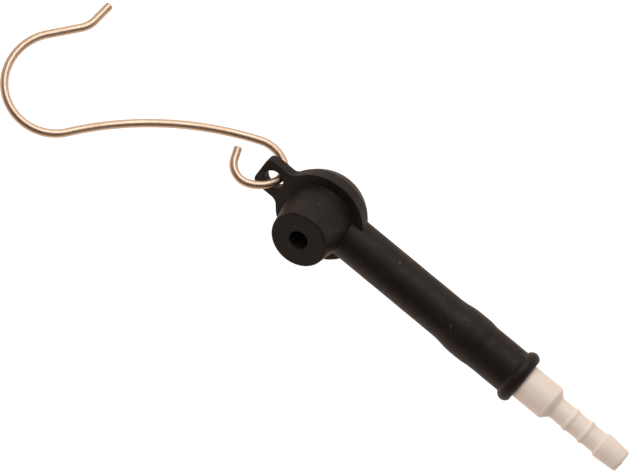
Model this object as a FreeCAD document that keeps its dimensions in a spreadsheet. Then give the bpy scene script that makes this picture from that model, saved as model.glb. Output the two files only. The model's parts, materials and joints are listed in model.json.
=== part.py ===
import FreeCAD, Part
import cmath
import math
import os

import Sketcher
from FreeCAD import Vector

# A right-angle rubber suction tip with a barbed hose connector, hanging from a bent wire hook.
#
# Row frame, millimetres, +Z up. The origin is the hook's seat: the highest point of the inside of
# its crown, where a rail passes. The hook lies in the XZ plane and the rail runs along Y. The tip
# hangs from the hook's eye with its tube straight down.
#
# Head frame, used inside the two pieces of the tip: the origin is where the nozzle's axis crosses
# the tube's axis, the nozzle points along -Y, the lug is up +Z and the tube runs down -Z. Sizes
# along the tube and the nozzle are distances from that crossing.

SIZES = {
    # nozzle: a cone that seals against what is drained or exhausted
    "nozzle_face_radius": 7.65,
    "nozzle_root_radius": 9.25,
    "nozzle_length": 11.8,
    "nozzle_bore_radius": 2.5,
    "nozzle_edge_round": 0.5,
    # round flange, and the dome that closes the elbow behind it
    "flange_radius": 12.1,
    "flange_thickness": 3.3,
    "flange_ahead": 1.95,
    "dome_radius": 11.85,
    "dome_depth": 12.2,
    # lug with the hanging hole, on the flange's edge opposite the tube
    "lug_thickness": 3.0,
    "lug_half_width": 4.6,
    "lug_end": 19.05,
    "lug_corner_radius": 2.0,
    "lug_neck_radius": 2.5,
    "lug_hole_up": 14.75,
    "lug_hole_radius": 2.6,
    # tube, swollen over the connector's inner barb, with a bead at its end
    "tube_radius": 5.8,
    "tube_bore_radius": 3.0,
    "swell_start": 40.3,
    "swell_radius": 6.35,
    "swell_crest": 46.6,
    "swell_crest_end": 48.8,
    "grip_start": 53.0,
    "grip_radius": 6.05,
    "bead_start": 61.8,
    "bead_radius": 7.3,
    "tube_end": 65.5,
    # hose connector: inner barb and shank, collar, neck with two rings, outer barb
    "passage_radius": 2.0,
    "inner_tip_radius": 3.0,
    "inner_tip": 40.5,
    "inner_barb_radius": 4.0,
    "inner_barb_crest": 46.8,
    "inner_barb_back": 48.6,
    "shank_radius": 3.5,
    "collar_radius": 4.7,
    "collar_end": 74.2,
    "neck_radius": 2.92,
    "neck_start": 75.9,
    "ring_radius": 3.24,
    "ring_half_width": 0.75,
    "first_ring": 80.6,
    "second_ring": 85.5,
    "outer_barb_back": 90.2,
    "outer_barb_radius": 3.45,
    "outer_barb_land": 1.0,
    "shoulder_radius": 3.1,
    "shoulder": 96.6,
    "outer_tip_radius": 2.65,
    "outer_tip": 97.5,
    # where the lug's hole hangs from the hook's seat, and which way the nozzle points
    "hole_aside": 18.2,
    "hole_below": 68.5,
    "head_turn": -60.0,
    # wire hook, from the end inside the eye to the end at the mouth; turns are in degrees
    "wire_radius": 1.05,
    "eye_tail_length": 3.1,
    "eye_side_radius": 4.9,
    "eye_side_turn": 94.0,
    "eye_floor_radius": 9.6,
    "eye_floor_turn": 44.0,
    "eye_corner_radius": 4.25,
    "eye_corner_turn": 82.4,
    "eye_rise_radius": 8.7,
    "eye_rise_turn": 52.3,
    "stem_radius": 90.0,
    "stem_turn": 31.6,
    "throat_radius": 12.4,
    "throat_turn": 123.9,
    "crown_radius": 14.7,
    "crown_turn": 57.9,
    "leg_length": 8.8,
    "leg_slope": -36.7,
    "flick_radius": 6.9,
    "flick_turn": 33.4,
    "tip_length": 5.7,
}

SHEET = "Sizes"
START, END, CENTRE = 1, 2, 3    # a sketch edge's own points
ORIGIN_POINT = (-1, START)
ACROSS, UPWARD = -1, -2         # a sketch's own two axes


class Size:
    """A number together with the sheet expression that drives it."""

    def __init__(self, value, text):
        self.value = value
        self.text = text

    def joined(self, sign, other, value):
        text = other.text if isinstance(other, Size) else str(other)
        return Size(value, f"({self.text} {sign} {text})")

    def __add__(self, other):
        return self.joined("+", other, self.value + number(other))

    def __sub__(self, other):
        return self.joined("-", other, self.value - number(other))

    def __mul__(self, other):
        return self.joined("*", other, self.value * number(other))

    def __truediv__(self, other):
        return self.joined("/", other, self.value / number(other))

    def __neg__(self):
        return Size(-self.value, f"(-1 * {self.text})")

    def __abs__(self):
        return Size(abs(self.value), f"abs({self.text})")

    def root(self):
        return Size(math.sqrt(self.value), f"sqrt({self.text})")

    def sine(self):
        return Size(math.sin(math.radians(self.value)), f"sin({self.text} * 1 deg)")

    def cosine(self):
        return Size(math.cos(math.radians(self.value)), f"cos({self.text} * 1 deg)")


def number(value):
    return value.value if isinstance(value, Size) else value


def size(alias):
    return Size(SIZES[alias], f"{SHEET}.{alias}")


def cap_radius(half_width, height):
    """The radius of an arc of the given half width and height."""
    return (half_width * half_width + height * height) / (height * 2)


def fill_sheet(doc):
    sheet = doc.addObject("Spreadsheet::Sheet", SHEET)
    for row, (alias, value) in enumerate(SIZES.items(), start=1):
        sheet.set(f"A{row}", alias)
        sheet.set(f"B{row}", str(value))
        sheet.setAlias(f"B{row}", alias)
    doc.recompute()


# Sketch helpers. A point is a pair of sizes; a plain 0 holds it on that axis.

def new_sketch(body, name, plane):
    sketch = body.newObject("Sketcher::SketchObject", name)
    support = [item for item in body.Origin.OriginFeatures if item.Role == plane][0]
    sketch.AttachmentSupport = (support, [""])
    sketch.MapMode = "FlatFace"
    return sketch


def flat(point):
    return Vector(number(point[0]), number(point[1]), 0)


def bind(sketch, kind, *geometry, to):
    """Adds a driving constraint, bound to the sheet. An angle is in degrees."""
    unit, scale = (" * 1 deg", math.pi / 180) if kind == "Angle" else ("", 1)
    index = sketch.addConstraint(Sketcher.Constraint(kind, *geometry, to.value * scale))
    sketch.setExpression(f"Constraints[{index}]", to.text + unit)


def hold_point(sketch, edge, end, point):
    for kind, axis, along in (("DistanceX", UPWARD, point[0]), ("DistanceY", ACROSS, point[1])):
        if isinstance(along, Size):
            bind(sketch, kind, *ORIGIN_POINT, edge, end, to=along)
        else:
            sketch.addConstraint(Sketcher.Constraint("PointOnObject", edge, end, axis))


def arc_between(here, there, radius):
    """The short arc between two points, bulging left of the way if the radius is positive."""
    first, last = flat(here), flat(there)
    chord = last - first
    left = Vector(-chord.y, chord.x, 0).normalize() * math.copysign(1, radius.value)
    reach = abs(radius.value)
    centre = (first + last) / 2 - left * math.sqrt(reach ** 2 - (chord.Length / 2) ** 2)
    return Part.Arc(first, centre + left * reach, last)


def draw_outline(sketch, steps):
    """Draws and holds a closed outline. A step is (point,) or (point, signed radius of the arc to it)."""
    ends = []
    here = steps[-1][0]
    for there, *bend in steps:
        if bend:
            edge = sketch.addGeometry(arc_between(here, there, bend[0]))
            bind(sketch, "Radius", edge, to=abs(bend[0]))
        else:
            edge = sketch.addGeometry(Part.LineSegment(flat(here), flat(there)))
        forward = sketch.getPoint(edge, START).distanceToPoint(flat(here)) < 1e-6
        ends.append((START, END) if forward else (END, START))
        hold_point(sketch, edge, ends[-1][1], there)
        here = there
    for edge, (first, _) in enumerate(ends):
        before = (edge - 1) % len(ends)
        sketch.addConstraint(Sketcher.Constraint("Coincident", before, ends[before][1], edge, first))


def s_curve(here, there):
    """Two equal tangent arcs between two points whose tangents both run along the tube."""
    rise = there[0] - here[0]
    run = there[1] - here[1]
    middle = (here[0] + rise / 2, here[1] + run / 2)
    radius = (rise * rise + run * run) / (rise * 4)
    return [(middle, -radius), (there, radius)]


def revolve(body, kind, name, plane, axis, steps):
    sketch = new_sketch(body, name + "_outline", plane)
    draw_outline(sketch, steps)
    feature = body.newObject(kind, name)
    feature.Profile = sketch
    feature.ReferenceAxis = (sketch, [axis])
    feature.Angle = 360
    return feature


def revolve_about_nozzle(body, kind, name, steps):
    return revolve(body, kind, name, "YZ_Plane", "H_Axis", steps)


def revolve_about_tube(body, kind, name, steps):
    return revolve(body, kind, name, "XZ_Plane", "V_Axis", steps)


# Rubber elbow

NOZZLE_FACE = -(size("flange_ahead") + size("nozzle_length"))
FLANGE_FRONT = -size("flange_ahead")
FLANGE_BACK = FLANGE_FRONT + size("flange_thickness")
DOME_BACK = FLANGE_FRONT + size("dome_depth")


def add_head(body):
    edge = size("nozzle_edge_round")
    face = size("nozzle_face_radius")
    dome = size("dome_radius")
    revolve_about_nozzle(body, "PartDesign::Revolution", "head", [
        ((NOZZLE_FACE, face - edge),),
        ((NOZZLE_FACE + edge, face), edge),
        ((FLANGE_FRONT, size("nozzle_root_radius")),),
        ((FLANGE_FRONT, size("flange_radius")),),
        ((FLANGE_BACK, size("flange_radius")),),
        ((FLANGE_BACK, dome),),
        ((DOME_BACK, 0), cap_radius(dome, DOME_BACK - FLANGE_BACK)),
        ((NOZZLE_FACE, 0),),
    ])


def add_lug(body):
    """The lug is flush with the flange's front and flares into the flange's edge."""
    half = size("lug_half_width")
    top = size("lug_end")
    corner = size("lug_corner_radius")
    neck = size("lug_neck_radius")
    flange = size("flange_radius")
    neck_aside = half + neck
    neck_reach = flange + neck
    neck_up = (neck_reach * neck_reach - neck_aside * neck_aside).root()
    foot_aside = neck_aside * flange / neck_reach
    foot_up = neck_up * flange / neck_reach
    sketch = new_sketch(body, "lug_outline", "XZ_Plane")
    draw_outline(sketch, [
        ((foot_aside, foot_up),),
        ((half, neck_up), neck),
        ((half, top - corner),),
        ((half - corner, top), -corner),
        ((corner - half, top),),
        ((-half, top - corner), -corner),
        ((-half, neck_up),),
        ((-foot_aside, foot_up), neck),
    ])
    hole = sketch.addGeometry(Part.Circle(Vector(0, SIZES["lug_hole_up"], 0), Vector(0, 0, 1),
                                          SIZES["lug_hole_radius"]))
    hold_point(sketch, hole, CENTRE, (0, size("lug_hole_up")))
    bind(sketch, "Radius", hole, to=size("lug_hole_radius"))
    sketch.setExpression("AttachmentOffset.Base.z", size("flange_ahead").text)
    lug = body.newObject("PartDesign::Pad", "lug")
    lug.Profile = sketch
    lug.Reversed = True
    lug.setExpression("Length", size("lug_thickness").text)


def add_tube(body):
    tube = size("tube_radius")
    swell = size("swell_radius")
    grip = size("grip_radius")
    swell_start = (tube, -size("swell_start"))
    crest = (swell, -size("swell_crest"))
    crest_end = (swell, -size("swell_crest_end"))
    grip_start = (grip, -size("grip_start"))
    bead_half_width = (size("tube_end") - size("bead_start")) / 2
    bead_arc = cap_radius(bead_half_width, size("bead_radius") - grip)
    revolve_about_tube(body, "PartDesign::Revolution", "tube", [
        ((tube, 0),),
        (swell_start,),
        *s_curve(swell_start, crest),
        (crest_end,),
        *s_curve(crest_end, grip_start),
        ((grip, -size("bead_start")),),
        ((grip, -size("tube_end")), bead_arc),
        ((0, -size("tube_end")),),
        ((0, 0),),
    ])


def cut_passage(body):
    """The way through: the nozzle's bore, then the tube's bore, stretched over the connector."""
    bore = size("nozzle_bore_radius")
    revolve_about_nozzle(body, "PartDesign::Groove", "nozzle_bore", [
        ((NOZZLE_FACE, bore),),
        ((0, bore),),
        ((0, 0),),
        ((NOZZLE_FACE, 0),),
    ])
    bore = size("tube_bore_radius")
    revolve_about_tube(body, "PartDesign::Groove", "tube_bore", [
        ((0, bore),),
        ((bore, 0), bore),
        *inner_end_outline(),
        ((0, -size("tube_end")),),
    ])


def make_rubber_elbow(doc):
    body = doc.addObject("PartDesign::Body", "rubber_elbow")
    add_head(body)
    add_lug(body)
    add_tube(body)
    cut_passage(body)
    place_head(body)
    return body


def place_head(body):
    """Hangs a piece of the tip so that the middle of the lug's hole is where the wire passes."""
    lug_middle = FLANGE_FRONT + size("lug_thickness") / 2
    turn = size("head_turn")
    base = {
        "x": size("hole_aside") + lug_middle * turn.sine(),
        "y": -lug_middle * turn.cosine(),
        "z": -size("hole_below") - size("lug_hole_up"),
    }
    body.Placement.Rotation = FreeCAD.Rotation(Vector(0, 0, 1), turn.value)
    for axis, place in base.items():
        body.setExpression(f"Placement.Base.{axis}", place.text)


# Hose connector

def inner_end_outline():
    """The end that is pushed into the tube, from its tip to the tube's end."""
    barb = size("inner_barb_radius")
    return [
        ((size("inner_tip_radius"), -size("inner_tip")),),
        ((barb, -size("inner_barb_crest")),),
        ((barb, -size("inner_barb_back")),),
        ((size("shank_radius"), -size("inner_barb_back")),),
        ((size("shank_radius"), -size("tube_end")),),
    ]


def ring_outline(middle):
    neck = size("neck_radius")
    half = size("ring_half_width")
    return [
        ((neck, -(middle - half)),),
        ((neck, -(middle + half)), cap_radius(half, size("ring_radius") - neck)),
    ]


def make_hose_connector(doc):
    body = doc.addObject("PartDesign::Body", "hose_connector")
    collar = size("collar_radius")
    neck = size("neck_radius")
    barb = size("outer_barb_radius")
    revolve_about_tube(body, "PartDesign::Revolution", "barbed_ends", [
        *inner_end_outline(),
        ((collar, -size("tube_end")),),
        ((collar, -size("collar_end")),),
        ((neck, -size("neck_start")),),
        *ring_outline(size("first_ring")),
        *ring_outline(size("second_ring")),
        ((neck, -size("outer_barb_back")),),
        ((barb, -size("outer_barb_back")),),
        ((barb, -(size("outer_barb_back") + size("outer_barb_land"))),),
        ((size("shoulder_radius"), -size("shoulder")),),
        ((size("outer_tip_radius"), -size("outer_tip")),),
        ((0, -size("outer_tip")),),
        ((0, -size("inner_tip")),),
    ])
    bore = size("passage_radius")
    revolve_about_tube(body, "PartDesign::Groove", "passage", [
        ((bore, -size("inner_tip")),),
        ((bore, -size("outer_tip")),),
        ((0, -size("outer_tip")),),
        ((0, -size("inner_tip")),),
    ])
    place_head(body)
    return body


# Wire hook. A straight stretch is (length,), and a bend is (radius, turn, 1 left or -1 right).

HOOK_BENDS = [
    ("eye_tail_length",),
    ("eye_side_radius", "eye_side_turn", 1),
    ("eye_floor_radius", "eye_floor_turn", 1),
    ("eye_corner_radius", "eye_corner_turn", 1),
    ("eye_rise_radius", "eye_rise_turn", 1),
    ("stem_radius", "stem_turn", 1),
    ("throat_radius", "throat_turn", -1),
    ("crown_radius", "crown_turn", -1),
    ("leg_length",),
    ("flick_radius", "flick_turn", 1),
    ("tip_length",),
]
CROWN = HOOK_BENDS.index(("crown_radius", "crown_turn", -1))
LEG = HOOK_BENDS.index(("leg_length",))


def bend_values(bend):
    return [SIZES[alias] for alias in bend[:2]]


def walk_bends(start, heading):
    """Follows the wire's centre line. Gives each stretch's ends and a bend's centre, as complex."""
    here = start
    for bend in HOOK_BENDS:
        first = here
        centre = None
        if len(bend) == 1:
            here += cmath.rect(SIZES[bend[0]], heading)
        else:
            radius, turn = bend_values(bend)
            swing = math.radians(turn) * bend[2]
            centre = here + cmath.rect(radius, heading) * 1j * bend[2]
            here = centre + (here - centre) * cmath.rect(1, swing)
            heading += swing
        yield first, centre, here


def draw_hook_line(sketch):
    turns = [SIZES[bend[1]] * bend[2] for bend in HOOK_BENDS[:LEG] if len(bend) > 1]
    heading = math.radians(SIZES["leg_slope"] - sum(turns))
    crown_centre = complex(0, SIZES["wire_radius"] - SIZES["crown_radius"])
    start = crown_centre - list(walk_bends(0, heading))[CROWN][1]
    ends = []
    for bend, (first, centre, last) in zip(HOOK_BENDS, walk_bends(start, heading)):
        if centre is None:
            line = Part.LineSegment(Vector(first.real, first.imag, 0), Vector(last.real, last.imag, 0))
            edge = sketch.addGeometry(line)
            bind(sketch, "Distance", edge, to=size(bend[0]))
            ends.append((START, END))
        else:
            low, high = (first, last) if bend[2] > 0 else (last, first)
            circle = Part.Circle(Vector(centre.real, centre.imag, 0), Vector(0, 0, 1), SIZES[bend[0]])
            from_angle = cmath.phase(low - centre)
            to_angle = from_angle + math.radians(SIZES[bend[1]])
            edge = sketch.addGeometry(Part.ArcOfCircle(circle, from_angle, to_angle))
            bind(sketch, "Radius", edge, to=size(bend[0]))
            bind(sketch, "Angle", edge, to=size(bend[1]))
            ends.append((START, END) if bend[2] > 0 else (END, START))
    for edge in range(1, len(ends)):
        before = (edge - 1, ends[edge - 1][1])
        sketch.addConstraint(Sketcher.Constraint("Tangent", *before, edge, ends[edge][0]))
    hold_point(sketch, CROWN, CENTRE, (0, size("wire_radius") - size("crown_radius")))
    bind(sketch, "Angle", LEG, to=size("leg_slope"))


def make_hanging_hook(doc):
    body = doc.addObject("PartDesign::Body", "hanging_hook")
    line = new_sketch(body, "centre_line", "XZ_Plane")
    draw_hook_line(line)
    doc.recompute()
    section = body.newObject("Sketcher::SketchObject", "section")
    section.AttachmentSupport = (line, ["Edge1"])
    section.MapMode = "NormalToEdge"
    circle = section.addGeometry(Part.Circle(Vector(), Vector(0, 0, 1), SIZES["wire_radius"]))
    section.addConstraint(Sketcher.Constraint("Coincident", circle, CENTRE, *ORIGIN_POINT))
    bind(section, "Radius", circle, to=size("wire_radius"))
    wire = body.newObject("PartDesign::AdditivePipe", "wire")
    wire.Profile = section
    wire.Spine = (line, [f"Edge{edge}" for edge in range(1, len(HOOK_BENDS) + 1)])
    return body


# Checks and files

def check(doc, bodies):
    for item in doc.Objects:
        if "Invalid" in item.State or "Error" in item.State:
            raise RuntimeError(f"{item.Label} failed: {item.State}")
    for body in bodies:
        if body.Shape.isNull() or not body.Shape.isValid():
            raise RuntimeError(f"{body.Label} has no valid shape")


def check_cuts(doc):
    """Each groove leaves less material than the feature before it."""
    for groove in doc.findObjects("PartDesign::Groove"):
        if groove.Shape.Volume >= groove.BaseFeature.Shape.Volume - 1:
            raise RuntimeError(f"{groove.Label} cuts nothing")


def main():
    doc = FreeCAD.newDocument("suction_tip")
    fill_sheet(doc)
    bodies = [make_rubber_elbow(doc), make_hose_connector(doc), make_hanging_hook(doc)]
    doc.recompute()
    check(doc, bodies)
    check_cuts(doc)
    os.makedirs("parts", exist_ok=True)
    for body in bodies:
        body.Shape.exportStep(f"parts/{body.Label}.step")
        box = body.Shape.BoundBox
        print(f"{body.Label}: {body.Shape.Volume:.1f} mm3, x {box.XMin:.2f} to {box.XMax:.2f}, "
              f"y {box.YMin:.2f} to {box.YMax:.2f}, z {box.ZMin:.2f} to {box.ZMax:.2f}")


main()
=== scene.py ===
"""A suction tip on its hook: a bent steel wire, a black rubber elbow and a white hose connector."""

import json
import math

import bmesh
import bpy
import numpy as np
from mathutils import Matrix, Vector, noise


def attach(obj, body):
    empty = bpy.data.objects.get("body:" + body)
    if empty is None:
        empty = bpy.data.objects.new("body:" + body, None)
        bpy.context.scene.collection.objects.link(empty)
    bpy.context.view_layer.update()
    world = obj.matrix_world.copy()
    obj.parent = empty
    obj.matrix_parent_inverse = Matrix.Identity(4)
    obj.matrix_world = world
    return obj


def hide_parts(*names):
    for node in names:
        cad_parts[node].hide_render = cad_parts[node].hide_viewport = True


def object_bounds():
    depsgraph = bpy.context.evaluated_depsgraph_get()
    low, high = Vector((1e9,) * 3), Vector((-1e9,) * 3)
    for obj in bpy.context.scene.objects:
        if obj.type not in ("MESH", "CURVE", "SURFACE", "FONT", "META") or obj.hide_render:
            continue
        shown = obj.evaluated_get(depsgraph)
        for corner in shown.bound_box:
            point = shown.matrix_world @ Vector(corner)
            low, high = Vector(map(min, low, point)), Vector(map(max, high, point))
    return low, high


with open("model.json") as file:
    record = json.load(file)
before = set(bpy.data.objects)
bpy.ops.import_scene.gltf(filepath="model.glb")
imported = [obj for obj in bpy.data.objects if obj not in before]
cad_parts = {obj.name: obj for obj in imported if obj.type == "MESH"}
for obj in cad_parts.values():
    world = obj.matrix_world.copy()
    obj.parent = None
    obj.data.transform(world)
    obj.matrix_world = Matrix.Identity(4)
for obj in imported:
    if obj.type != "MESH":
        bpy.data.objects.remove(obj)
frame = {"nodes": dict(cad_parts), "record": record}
cad_low, cad_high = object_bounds()

MM = 0.001
SCENE = bpy.context.scene


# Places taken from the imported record

def mount(name):
    found = next(m for m in frame["record"]["mounts"] if m["name"] == name)
    return Vector(found["pos_m"]), Vector(found["axis"]).normalized()


MOUTH, NOZZLE_WAY = mount("suction_mouth")
BARB, _ = mount("hose_barb")
CROSSING = Vector((BARB.x, BARB.y, MOUTH.z))
SIDEWAYS = NOZZLE_WAY.cross(Vector((0, 0, 1)))


# Camera: it looks along the photographed direction, and the picture is rolled so that the tube
# falls to the right

CAMERA_AZIMUTH = -20.0
CAMERA_ELEVATION = -2.0
CAMERA_ROLL = -50.4
LENS = 400.0
SENSOR = 36.0
FRAME_WIDTH = 157.75 * MM
AIM_RIGHT = -1.65 * MM
AIM_UP = -5.9 * MM


def camera_axes():
    """Right, up and backwards, as the picture shows them."""
    azimuth, elevation, roll = (math.radians(a) for a in (CAMERA_AZIMUTH, CAMERA_ELEVATION, CAMERA_ROLL))
    back = Vector((
        math.sin(azimuth) * math.cos(elevation),
        -math.cos(azimuth) * math.cos(elevation),
        math.sin(elevation),
    ))
    level = Vector((math.cos(azimuth), math.sin(azimuth), 0))
    turn = Matrix.Rotation(roll, 3, back)
    right = turn @ level
    return right, back.cross(right), back


RIGHT, UP, BACK = camera_axes()


def add_camera():
    data = bpy.data.cameras.new("camera")
    data.lens = LENS
    data.sensor_width = SENSOR
    data.clip_end = 100
    camera = bpy.data.objects.new("camera", data)
    SCENE.collection.objects.link(camera)
    aim = CROSSING + RIGHT * AIM_RIGHT + UP * AIM_UP
    distance = FRAME_WIDTH * LENS / SENSOR
    turn = Matrix((RIGHT, UP, BACK)).transposed().to_4x4()
    camera.matrix_world = Matrix.Translation(aim + BACK * distance) @ turn
    SCENE.camera = camera


# Light: a white tent, darker on the camera's side, with a soft box above and one by the camera

def add_softbox(name, way, distance, width, height, power, colour):
    data = bpy.data.lights.new(name, "AREA")
    data.shape = "RECTANGLE"
    data.size = width
    data.size_y = height
    data.energy = power
    data.color = colour
    lamp = bpy.data.objects.new(name, data)
    SCENE.collection.objects.link(lamp)
    way = way.normalized()
    turn = way.to_track_quat("Z", "Y").to_matrix().to_4x4()
    lamp.matrix_world = Matrix.Translation(CROSSING + way * distance) @ turn
    lamp.visible_camera = False
    return lamp


def node_tree(owner):
    owner.use_nodes = True
    owner.node_tree.nodes.clear()
    return Nodes(owner.node_tree)


class Nodes:
    """Makes and links shader nodes in one call each."""

    def __init__(self, tree):
        self.tree = tree

    def add(self, kind, settings=None, **inputs):
        node = self.tree.nodes.new("ShaderNode" + kind)
        for name, value in (settings or {}).items():
            setattr(node, name, value)
        for name, value in inputs.items():
            self.feed(node, name, value)
        return node

    def feed(self, node, name, value):
        socket = node.inputs[int(name[1:])] if name[1:].isdigit() else node.inputs[name.replace("_", " ")]
        if isinstance(value, bpy.types.NodeSocket):
            self.tree.links.new(value, socket)
        else:
            socket.default_value = value

    def math(self, operation, a, b=0.0, clamp=False):
        return self.add("Math", {"operation": operation, "use_clamp": clamp}, i0=a, i1=b).outputs[0]

    def ramp(self, value, low, high, out_low=0.0, out_high=1.0, smooth=True):
        kind = "SMOOTHSTEP" if smooth else "LINEAR"
        node = self.add("MapRange", {"interpolation_type": kind}, Value=value)
        limits = {"From Min": low, "From Max": high, "To Min": out_low, "To Max": out_high}
        for name, number in limits.items():
            node.inputs[name].default_value = number
        return node.outputs["Result"]

    def mix(self, factor, a, b, blend="MIX"):
        node = self.add("Mix", {"data_type": "RGBA", "blend_type": blend})
        self.feed(node, "i0", factor)
        self.feed(node, "i6", a)
        self.feed(node, "i7", b)
        return node.outputs[2]

    def noise(self, place, scale, detail=2.0, roughness=0.5):
        node = self.add("TexNoise", None, Vector=place, Scale=scale, Detail=detail, Roughness=roughness)
        return node.outputs["Fac"]


def add_tent():
    """White all round for what the object mirrors, darker on the camera's side, and a white backdrop."""
    world = bpy.data.worlds.new("tent")
    SCENE.world = world
    nodes = node_tree(world)
    way = nodes.add("TexCoord").outputs["Generated"]
    facing = nodes.add("VectorMath", {"operation": "DOT_PRODUCT"}, i0=way, i1=tuple(BACK)).outputs["Value"]
    near_camera = nodes.ramp(facing, -0.1, 0.5)
    colour = nodes.mix(near_camera, (1.0, 0.78, 0.65, 1), (0.10, 0.055, 0.035, 1))
    tent = nodes.add("Background", None, Color=colour, Strength=1.0)
    backdrop = nodes.add("Background", None, Color=(1, 1, 1, 1), Strength=1.1)
    seen = nodes.add("LightPath").outputs["Is Camera Ray"]
    mix = nodes.add("MixShader", None, i0=seen, i1=tent.outputs[0], i2=backdrop.outputs[0])
    nodes.add("OutputWorld", None, Surface=mix.outputs[0])


FLOOR_GAP = 25 * MM
FLOOR_HALF = 6.0


def add_floor():
    mesh = bpy.data.meshes.new("floor")
    level = cad_low.z - FLOOR_GAP
    corners = [(-1, -1), (1, -1), (1, 1), (-1, 1)]
    mesh.from_pydata([(x * FLOOR_HALF, y * FLOOR_HALF, level) for x, y in corners], [], [(0, 1, 2, 3)])
    floor = bpy.data.objects.new("floor", mesh)
    SCENE.collection.objects.link(floor)
    paper = bpy.data.materials.new("floor_paper")
    nodes = node_tree(paper)
    shader = nodes.add("BsdfPrincipled", None, Base_Color=(0.9, 0.9, 0.9, 1), Roughness=0.9)
    nodes.feed(shader, "Emission Color", (1, 1, 1, 1))
    nodes.feed(shader, "Emission Strength", 0.6)
    nodes.add("OutputMaterial", None, Surface=shader.outputs[0])
    mesh.materials.append(paper)
    floor.visible_glossy = False
    floor.visible_diffuse = False


def add_lights():
    add_tent()
    add_softbox("key", UP * 0.68 + RIGHT * 0.25 + BACK * 0.70, 0.7, 0.6, 0.6, 3.0, (1.0, 0.93, 0.87))
    fill = add_softbox("fill", BACK * 0.9 - RIGHT * 0.3, 0.9, 0.5, 0.5, 3.0, (1.0, 0.92, 0.85))
    fill.visible_glossy = False


# Materials

def object_place(nodes):
    return nodes.add("TexCoord").outputs["Object"]


def add_skin(nodes, colour, roughness, bump):
    skin = nodes.add("BsdfPrincipled", None, Base_Color=colour, Roughness=roughness)
    nodes.feed(skin, "Normal", bump.outputs[0])
    return skin


def black_rubber():
    """Matt moulded rubber with a fine grain and a little dust on it."""
    material = bpy.data.materials.new("black_rubber")
    nodes = node_tree(material)
    place = object_place(nodes)
    cloud = nodes.noise(place, 140.0, 3.0)
    grain = nodes.noise(place, 9000.0, 3.0, 0.6)
    colour = nodes.mix(cloud, (0.0075, 0.0065, 0.0060, 1), (0.0115, 0.0098, 0.0090, 1))
    colour = nodes.mix(dust_specks(nodes, place, 420.0, 0.80), colour, (0.16, 0.135, 0.11, 1))
    colour = nodes.mix(dust_specks(nodes, place, 760.0, 0.78), colour, (0.07, 0.055, 0.045, 1))
    colour = nodes.mix(dust_specks(nodes, place, 250.0, 0.90), colour, (0.22, 0.09, 0.03, 1))
    colour = nodes.mix(lint_threads(nodes, place), colour, (0.15, 0.125, 0.105, 1))
    roughness = nodes.ramp(nodes.noise(place, 420.0, 4.0), 0.3, 0.7, 0.47, 0.58)
    bump = nodes.add("Bump", None, Strength=0.25, Distance=0.00004, Height=grain)
    shader = add_skin(nodes, colour, roughness, bump)
    nodes.feed(shader, "Specular IOR Level", 0.28)
    nodes.add("OutputMaterial", None, Surface=shader.outputs[0])
    return material


def dust_specks(nodes, place, cells_per_metre, rare):
    """Few small grains: the cores of widely spaced cells, kept where the cell's own number is high."""
    cells = nodes.add("TexVoronoi", {"feature": "F1"}, Vector=place, Scale=cells_per_metre)
    core = nodes.ramp(cells.outputs["Distance"], 0.05, 0.11, 1.0, 0.0)
    number = nodes.add("SeparateColor", None, Color=cells.outputs["Color"]).outputs[0]
    kept = nodes.ramp(number, rare, rare + 0.06)
    patch = nodes.ramp(nodes.noise(place, 60.0), 0.42, 0.62, 0.25, 1.0)
    return nodes.math("MULTIPLY", nodes.math("MULTIPLY", core, kept), patch)


def lint_threads(nodes, place):
    """Short bent threads: where one noise crosses its middle value and another is high."""
    line = nodes.math("ABSOLUTE", nodes.math("SUBTRACT", nodes.noise(place, 260.0, 0.0), 0.5))
    thread = nodes.ramp(line, 0.003, 0.009, 1.0, 0.0)
    kept = nodes.ramp(nodes.noise(place, 330.0, 1.0), 0.66, 0.70)
    return nodes.math("MULTIPLY", nodes.math("MULTIPLY", thread, kept), 0.25)


def white_plastic():
    """Moulded nylon, faintly clouded, with a soft satin skin."""
    material = bpy.data.materials.new("white_plastic")
    nodes = node_tree(material)
    place = object_place(nodes)
    cloud = nodes.noise(place, 260.0, 3.0)
    grain = nodes.noise(place, 5000.0, 2.0)
    colour = nodes.mix(cloud, (0.87, 0.84, 0.80, 1), (0.90, 0.87, 0.84, 1))
    roughness = nodes.ramp(nodes.noise(place, 900.0, 2.0), 0.3, 0.7, 0.34, 0.46)
    bump = nodes.add("Bump", None, Strength=0.12, Distance=0.00003, Height=grain)
    shader = add_skin(nodes, colour, roughness, bump)
    nodes.feed(shader, "Subsurface Weight", 1.0)
    nodes.feed(shader, "Subsurface Radius", (1.0, 0.9, 0.8))
    nodes.feed(shader, "Subsurface Scale", 0.0005)
    nodes.add("OutputMaterial", None, Surface=shader.outputs[0])
    return material


def steel_wire():
    """Drawn wire: fine lines along it, slightly uneven in colour."""
    material = bpy.data.materials.new("steel_wire")
    nodes = node_tree(material)
    drawn = nodes.add("Attribute", {"attribute_name": "drawn"}).outputs["Vector"]
    place = object_place(nodes)
    streaks = nodes.noise(drawn, 1.0, 2.0)
    cloud = nodes.noise(place, 350.0, 3.0)
    colour = nodes.mix(streaks, (0.66, 0.54, 0.43, 1), (0.78, 0.68, 0.57, 1))
    colour = nodes.mix(nodes.ramp(cloud, 0.45, 0.7, 0.0, 0.3), colour, (0.66, 0.48, 0.30, 1))
    roughness = nodes.ramp(streaks, 0.3, 0.7, 0.50, 0.42)
    bump = nodes.add("Bump", None, Strength=0.06, Distance=0.00002, Height=streaks)
    shader = add_skin(nodes, colour, roughness, bump)
    nodes.feed(shader, "Metallic", 1.0)
    nodes.feed(shader, "Specular Tint", (0.80, 0.66, 0.50, 1))
    nodes.add("OutputMaterial", None, Surface=shader.outputs[0])
    return material


# Meshes

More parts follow.
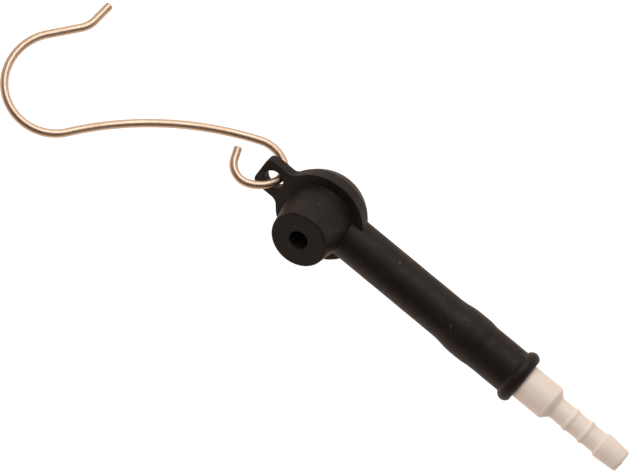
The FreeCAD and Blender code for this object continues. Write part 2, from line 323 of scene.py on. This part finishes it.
def add_piece(name, mesh, material, slot, body, *nodes):
    """Puts a mesh in place of CAD nodes, on the same body."""
    piece = bpy.data.objects.new(name, mesh)
    SCENE.collection.objects.link(piece)
    mesh.materials.clear()
    mesh.materials.append(material)
    for face in mesh.polygons:
        face.use_smooth = True
        face.material_index = 0
    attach(piece, body)
    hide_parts(*nodes)
    return piece


def with_modifiers(mesh, *modifiers):
    """A new mesh: the old one with each (kind, settings) modifier applied in turn."""
    carrier = bpy.data.objects.new("carrier", mesh)
    SCENE.collection.objects.link(carrier)
    for kind, settings in modifiers:
        modifier = carrier.modifiers.new(kind, kind)
        for name, value in settings.items():
            setattr(modifier, name, value)
    graph = bpy.context.evaluated_depsgraph_get()
    made = bpy.data.meshes.new_from_object(carrier.evaluated_get(graph))
    bpy.data.objects.remove(carrier)
    return made


WELD_DISTANCE = 0.001 * MM


def welded_copy(node):
    """A CAD node's mesh with its split corners joined."""
    mesh = frame["nodes"][node].data.copy()
    work = bmesh.new()
    work.from_mesh(mesh)
    bmesh.ops.remove_doubles(work, verts=work.verts, dist=WELD_DISTANCE)
    work.to_mesh(mesh)
    work.free()
    return mesh


# Rubber elbow: the CAD shape with the soft edges that a mould leaves

RUBBER_VOXEL = 0.16 * MM
RUBBER_SOFTENING = 3
RUBBER_KEPT = 0.36
UNEVENNESS = 0.05 * MM
UNEVEN_SPAN = 4.0 * MM
RIM_RADIUS = 12.1 * MM
RIM_DEPTH = 0.4 * MM
PARTING_BEHIND = 0.75 * MM
PARTING_DEPTH = 0.07 * MM
PARTING_WIDTH = 0.16 * MM


def moulded_surface(mesh):
    """Sinks the skin a little here and there, and along the parting line round the flange's rim."""
    places = np.array([vert.co for vert in mesh.vertices])
    normals = np.array([vert.normal for vert in mesh.vertices])
    uneven = np.array([noise.noise(Vector(place) / UNEVEN_SPAN) for place in places])
    sink = UNEVENNESS * (0.5 + 0.5 * uneven)
    from_crossing = places - np.array(CROSSING)
    ahead = from_crossing @ np.array(NOZZLE_WAY)
    aside = np.linalg.norm(from_crossing - ahead[:, None] * np.array(NOZZLE_WAY), axis=1)
    groove = PARTING_DEPTH * np.exp(-(((ahead + PARTING_BEHIND) / PARTING_WIDTH) ** 2))
    sink += np.where(aside > RIM_RADIUS - RIM_DEPTH, groove, 0)
    mesh.vertices.foreach_set("co", (places - normals * sink[:, None]).ravel())
    mesh.update()


def make_rubber_elbow():
    mesh = with_modifiers(
        welded_copy("rubber_elbow"),
        ("REMESH", {"mode": "VOXEL", "voxel_size": RUBBER_VOXEL, "use_smooth_shade": True}),
        ("SMOOTH", {"factor": 0.5, "iterations": RUBBER_SOFTENING}),
    )
    moulded_surface(mesh)
    mesh = with_modifiers(mesh, ("DECIMATE", {"ratio": RUBBER_KEPT}))
    add_piece("moulded_elbow", mesh, black_rubber(), "black_rubber", "suction_head", "rubber_elbow")


# Hose connector: a turned outline with softened corners and the marks of its mould

CONNECTOR_BORE = 2.0
COLLAR_START = 65.5
NECK = 2.92
CONNECTOR_OUTLINE = [
    # radius, distance below the nozzle's axis, corner radius
    (3.0, 40.5, 0.25),
    (4.0, 46.8, 0.5),
    (4.0, 48.6, 0.1),
    (3.5, 48.6, 0.1),
    (3.5, COLLAR_START, 0.05),
    (4.7, COLLAR_START, 0.1),
    (4.7, 74.2, 0.45),
    (NECK, 75.9, 1.4),
    "first ring",
    "second ring",
    (NECK, 90.0, 0.4),
    (3.45, 90.15, 0.22),
    (3.45, 91.2, 0.8),
    (3.1, 96.6, 0.8),
    (2.75, 97.25, 0.35),
]
RING_MIDDLES = {"first ring": 80.6, "second ring": 85.5}
RING_HEIGHT = 0.32
RING_HALF = 0.95
RING_STEPS = 17
RING_FLATNESS = 1.25
CORNER_STEPS = 5
CORNER_REACH = 0.45
NO_CORNER = math.radians(88)
ROUND_STEPS = 180
PARTING_WAY = Vector((-0.966, -0.258, 0))
RIDGE_HEIGHT = 0.05
RIDGE_HALF = 0.16
OUTSIDE_MARGIN = 0.05
NUB_WAY = Vector((-0.52, -0.854, 0))
NUB_INSET = 0.5
NUB_RADIUS = 0.45
NUB_HEIGHT = 0.24
NUB_ROOT = 0.1
NUB_TAPER = 0.8
NUB_ROWS = 5
NUB_SIDES = 20
NUB_WAVES = [
    # height, waves round the stub, shift
    (0.18, 3, 0.7),
    (0.1, 7, 0),
]


def ring_bump(middle):
    """A low flat-topped ring, blended into the neck on both sides."""
    steps = np.linspace(-1, 1, RING_STEPS)
    rise = [min(1, RING_FLATNESS * (0.5 + 0.5 * math.cos(math.pi * s))) for s in steps]
    return [(NECK + RING_HEIGHT * share, middle + RING_HALF * s, 0) for s, share in zip(steps, rise)]


def rounded(outline):
    """A closed outline of (x, y, corner radius) with each corner turned into an arc."""
    made = []
    for i, (x, y, radius) in enumerate(outline):
        here = np.array((x, y))
        before = np.array(outline[i - 1][:2]) - here
        after = np.array(outline[(i + 1) % len(outline)][:2]) - here
        long_before, long_after = np.linalg.norm(before), np.linalg.norm(after)
        before, after = before / long_before, after / long_after
        half = math.acos(np.clip(before @ after, -1, 1)) / 2
        if radius <= 0 or half > NO_CORNER:
            made.append(here)
            continue
        reach = min(radius / math.tan(half), CORNER_REACH * long_before, CORNER_REACH * long_after)
        bow = reach * math.tan(half)
        inward = (before + after) / np.linalg.norm(before + after)
        centre = here + inward * bow / math.sin(half)
        start, end = here + before * reach - centre, here + after * reach - centre
        for t in np.linspace(0, 1, CORNER_STEPS + 1):
            blend = start * (1 - t) + end * t
            made.append(centre + blend / np.linalg.norm(blend) * bow)
    return made


def make_hose_connector():
    outline = []
    for row in CONNECTOR_OUTLINE:
        outline += ring_bump(RING_MIDDLES[row]) if isinstance(row, str) else [row]
    last = outline[-1][1]
    outline += [(CONNECTOR_BORE, last, 0.15), (CONNECTOR_BORE, outline[0][1], 0.15)]
    profile = rounded(outline)
    verts, faces = [], []
    for k in range(ROUND_STEPS):
        angle = 2 * math.pi * k / ROUND_STEPS
        out = NOZZLE_WAY * math.cos(angle) + SIDEWAYS * math.sin(angle)
        off_line = math.acos(min(1, abs(out.dot(PARTING_WAY))))
        for r, drop in profile:
            outside = drop > COLLAR_START and r > NECK - OUTSIDE_MARGIN
            ridge = RIDGE_HEIGHT * math.exp(-((off_line * r / RIDGE_HALF) ** 2)) if outside else 0
            verts.append(CROSSING + out * ((r + ridge) * MM) + Vector((0, 0, -drop * MM)))
    count = len(profile)
    for k in range(ROUND_STEPS):
        here, there = k * count, (k + 1) % ROUND_STEPS * count
        for i in range(count):
            j = (i + 1) % count
            faces.append((here + i, here + j, there + j, there + i))
    nub_verts, nub_faces = gate_nub(len(verts), last)
    mesh = bpy.data.meshes.new("connector")
    mesh.from_pydata(verts + nub_verts, [], faces + nub_faces)
    mesh.validate()
    face_outwards(mesh)
    add_piece("moulded_connector", mesh, white_plastic(), "white_plastic", "suction_head", "hose_connector")


def gate_nub(first, end):
    """The small rough stub that is left where the plastic entered the mould, on the outer end's face."""
    middle = CROSSING + NUB_WAY * ((NECK - NUB_INSET) * MM) + Vector((0, 0, -end * MM))
    verts, faces = [], []
    for row in range(NUB_ROWS):
        share = row / (NUB_ROWS - 1)
        for k in range(NUB_SIDES):
            angle = 2 * math.pi * k / NUB_SIDES
            ragged = 1
            for height, waves, shift in NUB_WAVES:
                ragged += height * math.sin(waves * angle + shift)
            radius = NUB_RADIUS * ragged * math.sqrt(1 - NUB_TAPER * share * share)
            drop = NUB_HEIGHT * share - NUB_ROOT
            verts.append(middle + Vector((radius * math.cos(angle), radius * math.sin(angle), -drop)) * MM)
    for row in range(NUB_ROWS - 1):
        for k in range(NUB_SIDES):
            a = first + row * NUB_SIDES + k
            b = first + row * NUB_SIDES + (k + 1) % NUB_SIDES
            faces.append((a, b, b + NUB_SIDES, a + NUB_SIDES))
    faces.append(tuple(first + k for k in range(NUB_SIDES)))
    faces.append(tuple(first + (NUB_ROWS - 1) * NUB_SIDES + k for k in range(NUB_SIDES)))
    return verts, faces


def face_outwards(mesh):
    work = bmesh.new()
    work.from_mesh(mesh)
    bmesh.ops.recalc_face_normals(work, faces=work.faces)
    work.to_mesh(mesh)
    work.free()


# Hanging hook: one wire, bent flat in the XZ plane. A straight stretch is (length,), and a bend is
# (radius, degrees to the left)

WIRE_RADIUS = 1.05
HOOK_BENDS = [
    (3.1,),
    (4.9, 94.0),
    (9.6, 44.0),
    (4.25, 82.4),
    (8.7, 52.3),
    (90.0, 31.6),
    (12.4, -123.9),
    (14.7, -57.9),
    (8.8,),
    (6.9, 33.4),
    (5.7,),
]
CROWN = 7
LEG = 8
LEG_SLOPE = -36.7
WIRE_STEP = 0.35
WIRE_SIDES = 32
WIRE_CHAMFER = 0.14
DRAWN_ROUND = 4
DRAWN_ALONG = 0.1


def walk_wire(here, heading):
    """Places and headings along the wire's centre line, and where each stretch starts.

    A place is a complex number in mm.
    """
    places, starts = [], []
    for bend in HOOK_BENDS:
        starts.append((here, heading))
        length = bend[0] if len(bend) == 1 else bend[0] * math.radians(abs(bend[1]))
        steps = max(2, round(length / WIRE_STEP))
        for step in range(1, steps + 1):
            share = step / steps
            if len(bend) == 1:
                place, now = here + length * share * complex(math.cos(heading), math.sin(heading)), heading
            else:
                side = math.copysign(1, bend[1])
                now = heading + math.radians(bend[1]) * share
                centre = here + bend[0] * side * 1j * complex(math.cos(heading), math.sin(heading))
                place = centre - bend[0] * side * 1j * complex(math.cos(now), math.sin(now))
            places.append((place, now))
        here, heading = place, now
    return places, starts


def wire_line():
    """The centre line, placed so that the crown's inside top is at the row's origin."""
    turned = sum(bend[1] for bend in HOOK_BENDS[:LEG] if len(bend) > 1)
    heading = math.radians(LEG_SLOPE - turned)
    _, starts = walk_wire(0j, heading)
    at_crown, way = starts[CROWN]
    radius, turn = HOOK_BENDS[CROWN]
    side = math.copysign(1, turn)
    crown_centre = at_crown + radius * side * 1j * complex(math.cos(way), math.sin(way))
    start = complex(0, WIRE_RADIUS - radius) - crown_centre
    places, _ = walk_wire(start, heading)
    return [(start, heading), *places]


def make_hanging_hook():
    line = wire_line()
    first, last = line[0], line[-1]
    rings = []
    run = 0.0
    previous = first[0]
    for place, heading in line:
        run += abs(place - previous)
        previous = place
        rings.append((place, heading, WIRE_RADIUS, run))
    along = complex(math.cos(first[1]), math.sin(first[1]))
    rings[0] = (first[0] + along * WIRE_CHAMFER, first[1], WIRE_RADIUS, 0.0)
    along_end = complex(math.cos(last[1]), math.sin(last[1]))
    rings[-1] = (last[0] - along_end * WIRE_CHAMFER, last[1], WIRE_RADIUS, run)
    small = WIRE_RADIUS - WIRE_CHAMFER
    rings.insert(0, (first[0], first[1], small, 0.0))
    rings.append((last[0], last[1], small, run))
    verts, drawn = [], []
    for place, heading, radius, length in rings:
        across = complex(-math.sin(heading), math.cos(heading))
        for k in range(WIRE_SIDES):
            angle = 2 * math.pi * k / WIRE_SIDES
            spot = place + across * radius * math.cos(angle)
            verts.append((spot.real * MM, radius * math.sin(angle) * MM, spot.imag * MM))
            drawn += [DRAWN_ROUND * math.cos(angle), DRAWN_ROUND * math.sin(angle), DRAWN_ALONG * length]
    faces = []
    for i in range(len(rings) - 1):
        for k in range(WIRE_SIDES):
            a, b = i * WIRE_SIDES + k, i * WIRE_SIDES + (k + 1) % WIRE_SIDES
            faces.append((a, b, b + WIRE_SIDES, a + WIRE_SIDES))
    faces.append(tuple(range(WIRE_SIDES)))
    faces.append(tuple(range(len(verts) - WIRE_SIDES, len(verts))))
    mesh = bpy.data.meshes.new("wire")
    mesh.from_pydata(verts, [], faces)
    attribute = mesh.attributes.new("drawn", "FLOAT_VECTOR", "POINT")
    attribute.data.foreach_set("vector", drawn)
    face_outwards(mesh)
    piece = add_piece("wire_hook", mesh, steel_wire(), "steel_wire", "hook", "hanging_hook")
    for face in piece.data.polygons:
        face.use_smooth = len(face.vertices) == 4


# The whole scene

SCENE.view_settings.view_transform = "Standard"
add_camera()
add_lights()
add_floor()
make_rubber_elbow()
make_hose_connector()
make_hanging_hook()
